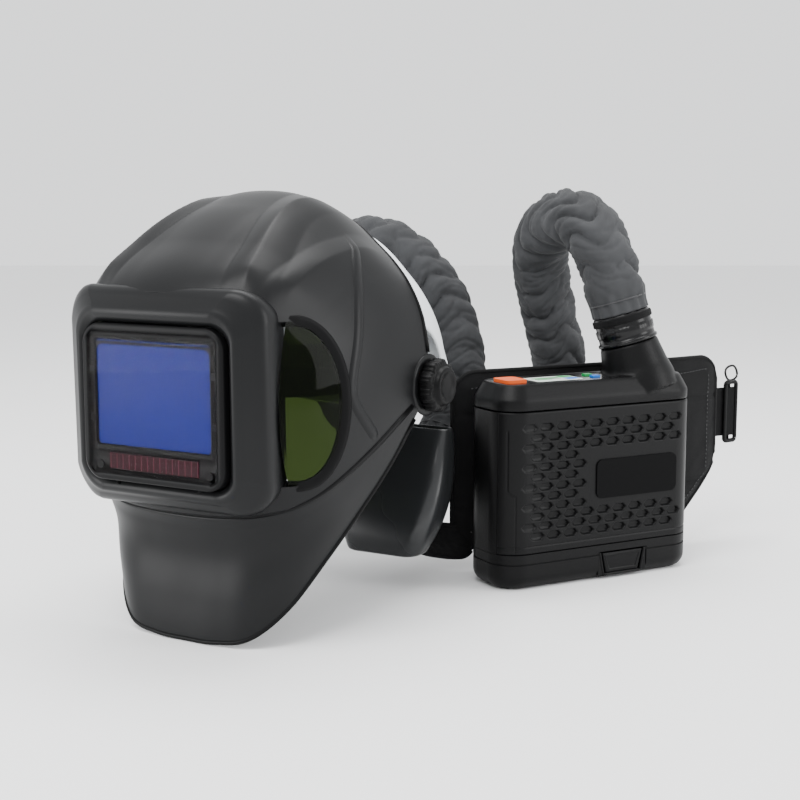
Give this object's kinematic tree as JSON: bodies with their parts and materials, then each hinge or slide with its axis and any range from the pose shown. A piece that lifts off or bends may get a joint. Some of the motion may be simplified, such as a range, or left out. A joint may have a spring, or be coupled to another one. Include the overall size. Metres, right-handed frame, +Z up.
{
  "type": "powered air respirator",
  "caption": "Welding helmet with tilting hood and auto-darkening filter, fed through a fabric-covered hose from a belt-worn blower with battery.",
  "frame": {"origin": "On the floor, under the middle of the helmet, the blower and the belt taken together.", "axes": "+X runs from the helmet towards the blower, the longest way; +Y points away from the front; +Z is up."},
  "size_m": [0.5844, 0.4338, 0.3392],
  "materials": {
    "shell_grey": "satin",
    "side_tint": "tinted",
    "filter_black": "fine texture",
    "filter_glass": "mirror blue",
    "clear_cover": "clear",
    "solar": "striped cells",
    "board_green": "solder mask",
    "sensor": "dark",
    "black_plastic": "satin",
    "steel": "brushed",
    "headgear_grey": "satin",
    "brow_foam": "soft",
    "duct_white": "translucent",
    "duct_grey": "translucent",
    "case_black": "fine texture",
    "cover_black": "fine texture",
    "label": "blank",
    "filter_paper": "pleated",
    "fan_plastic": "moulded",
    "motor": "turned",
    "panel_black": "gloss",
    "screen": "pale",
    "button_orange": "satin",
    "key_green": "satin",
    "key_blue": "satin",
    "cuff_black": "satin",
    "elastic": "ribbed",
    "hose_fabric": "gathered",
    "pad_fabric": "woven",
    "webbing": "woven"
  },
  "bodies": {
    "base": {"control_board": "board_green", "ratchet_case": "black_plastic", "headgear_arm_left": "black_plastic", "headgear_arm_right": "black_plastic", "pivot_bolt_left": "steel", "pivot_bolt_right": "steel", "wire_ring": "steel", "spark_guard": "steel", "snap_fastener": "steel", "head_band": "headgear_grey", "crown_strap_1": "headgear_grey", "crown_strap_2": "headgear_grey", "brow_pad": "brow_foam", "crown_duct": "duct_white", "nape_duct": "duct_grey", "blower_case": "case_black", "top_cap": "case_black", "belt_bracket": "case_black", "strap_slide": "case_black", "particle_filter": "filter_paper", "fan_scroll": "fan_plastic", "fan_motor": "motor", "display_panel": "panel_black", "display_screen": "screen", "breathing_hose": "hose_fabric", "belt_pad": "pad_fabric", "belt_strap": "webbing"},
    "hood": {"hood_shell": "shell_grey", "chin_guard": "shell_grey", "front_frame": "shell_grey", "side_window_left": "side_tint", "side_window_right": "side_tint", "filter_housing": "filter_black", "filter_glass": "filter_glass", "cover_plate": "clear_cover", "solar_cell": "solar", "filter_board": "board_green", "arc_sensor_1": "sensor", "arc_sensor_2": "sensor", "arc_sensor_3": "sensor", "arc_sensor_4": "sensor", "arc_sensor_5": "sensor", "arc_sensor_6": "sensor", "pivot_washer_left": "black_plastic", "pivot_washer_right": "black_plastic"},
    "knob_left": {"pivot_knob_left": "black_plastic"},
    "knob_right": {"pivot_knob_right": "black_plastic"},
    "nape_knob": {"ratchet_knob": "black_plastic"},
    "fan_wheel": {"impeller": "fan_plastic"},
    "power_key": {"power_button": "button_orange"},
    "key_up": {"flow_key_up": "key_green"},
    "key_down": {"flow_key_down": "key_blue"},
    "battery": {"battery_pack": "case_black"},
    "latch": {"battery_latch": "cover_black"},
    "front_cover": {"filter_cover": "cover_black", "label_plate": "label"},
    "cuff_blower": {"hose_cuff_blower": "cuff_black", "cuff_band_blower": "elastic"},
    "cuff_helmet": {"hose_cuff_helmet": "cuff_black", "cuff_band_helmet": "elastic"}
  },
  "joints": [
    {"name": "hood_tilt", "type": "hinge", "parent": "base", "child": "hood", "pos_m": [-0.1303, -0.0204, 0.186], "axis": [-0.866, 0.5, 0], "range_deg": [0, 60]},
    {"name": "knob_left_turn", "type": "hinge", "parent": "base", "child": "knob_left", "pos_m": [-0.01425, -0.0874, 0.186], "axis": [0.866, -0.5, 0], "range_deg": [-180, 180]},
    {"name": "knob_right_turn", "type": "hinge", "parent": "base", "child": "knob_right", "pos_m": [-0.24635, 0.0466, 0.186], "axis": [-0.866, 0.5, 0], "range_deg": [-180, 180]},
    {"name": "nape_knob_turn", "type": "hinge", "parent": "base", "child": "nape_knob", "pos_m": [-0.0743, 0.07659, 0.191], "axis": [0.5, 0.866, 0], "range_deg": [-180, 180]},
    {"name": "fan_spin", "type": "hinge", "parent": "base", "child": "fan_wheel", "pos_m": [0.08116, 0.04876, 0.092], "axis": [0.4695, -0.8829, 0], "continuous": true},
    {"name": "power_press", "type": "slide", "parent": "base", "child": "power_key", "axis": [0, 0, -1], "range_m": [0, 0.001], "stiffness_N_per_m": 600},
    {"name": "key_up_press", "type": "slide", "parent": "base", "child": "key_up", "axis": [0, 0, -1], "range_m": [0, 0.001], "stiffness_N_per_m": 400},
    {"name": "key_down_press", "type": "slide", "parent": "base", "child": "key_down", "axis": [0, 0, -1], "range_m": [0, 0.001], "stiffness_N_per_m": 400},
    {"name": "battery_slide", "type": "slide", "parent": "base", "child": "battery", "axis": [0, 0, -1], "range_m": [0, 0.06]},
    {"name": "latch_press", "type": "slide", "parent": "battery", "child": "latch", "axis": [-0.4695, 0.8829, 0], "range_m": [0, 0.0016], "stiffness_N_per_m": 900},
    {"name": "cover_pull", "type": "slide", "parent": "base", "child": "front_cover", "axis": [0.4695, -0.8829, 0], "range_m": [0, 0.04]},
    {"name": "cuff_blower_turn", "type": "hinge", "parent": "base", "child": "cuff_blower", "pos_m": [0.16085, 0.08207, 0.203], "axis": [-0.27, 0.0381, 0.9621], "range_deg": [-180, 180]},
    {"name": "cuff_helmet_turn", "type": "hinge", "parent": "base", "child": "cuff_helmet", "pos_m": [-0.02178, 0.07754, 0.09206], "axis": [0.4976, 0.6615, 0.5611], "range_deg": [-180, 180]}
  ]
}
